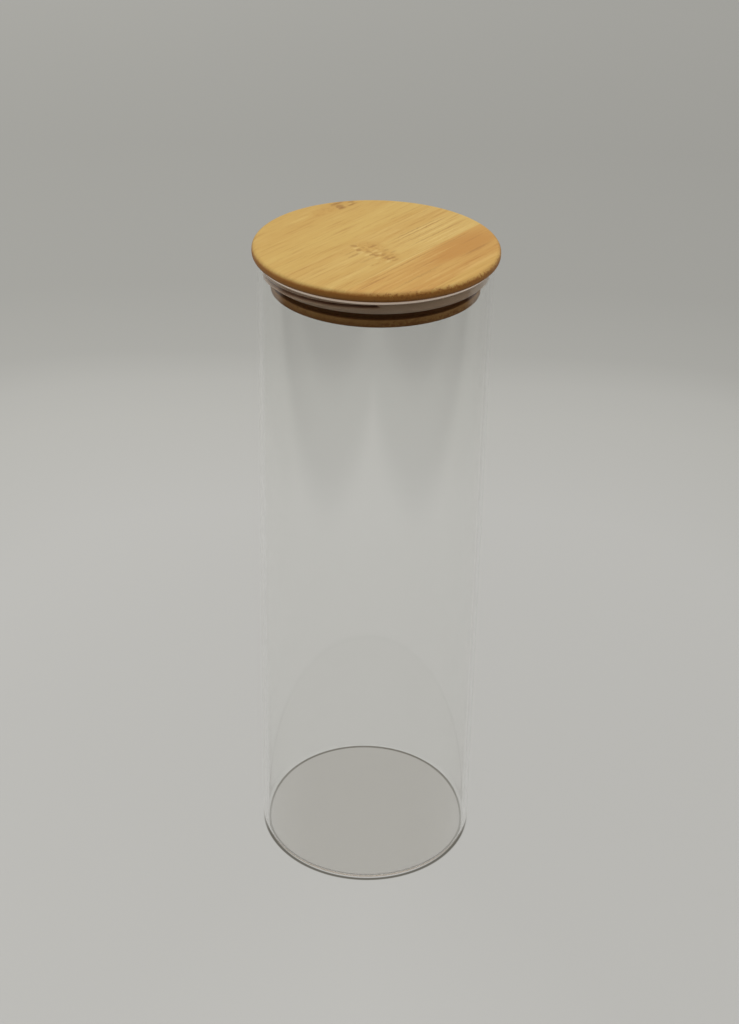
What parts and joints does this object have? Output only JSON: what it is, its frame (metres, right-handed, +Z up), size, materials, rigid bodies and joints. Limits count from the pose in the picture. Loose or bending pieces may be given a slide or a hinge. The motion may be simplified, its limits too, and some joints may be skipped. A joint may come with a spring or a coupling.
{
  "type": "storage jar",
  "caption": "Tall straight clear glass storage jar with a flat base and a round push-in bamboo lid sealed by a silicone ring.",
  "frame": {"origin": "centre of the base, on the plane that the jar stands on", "axes": "+Z up along the jar's axis, -Y towards the viewer of the picture, +X to the viewer's right"},
  "size_m": [0.1046, 0.1046, 0.3],
  "materials": {
    "clear_glass": "clear fire-polished glass",
    "silicone": "translucent pale silicone, satin",
    "plug_bamboo": "turned bamboo, oiled satin",
    "strip_edge_bamboo": "sanded bamboo, satin",
    "strip_pale_bamboo": "sanded bamboo, satin",
    "strip_node_bamboo": "sanded bamboo with a knuckle mark, satin",
    "strip_dark_bamboo": "sanded bamboo, satin",
    "strip_end_bamboo": "sanded bamboo, satin"
  },
  "bodies": {
    "jar": {"glass_body": "clear_glass"},
    "lid": {"lid_strip_1": "strip_edge_bamboo", "lid_strip_2": "strip_pale_bamboo", "lid_strip_3": "strip_node_bamboo", "lid_strip_4": "strip_dark_bamboo", "lid_strip_5": "strip_end_bamboo", "lid_plug": "plug_bamboo", "seal_ring": "silicone"}
  },
  "joints": [
    {"name": "lid_lift", "type": "slide", "parent": "jar", "child": "lid", "axis": [0, 0, 1], "range_m": [0, 0.12]}
  ]
}
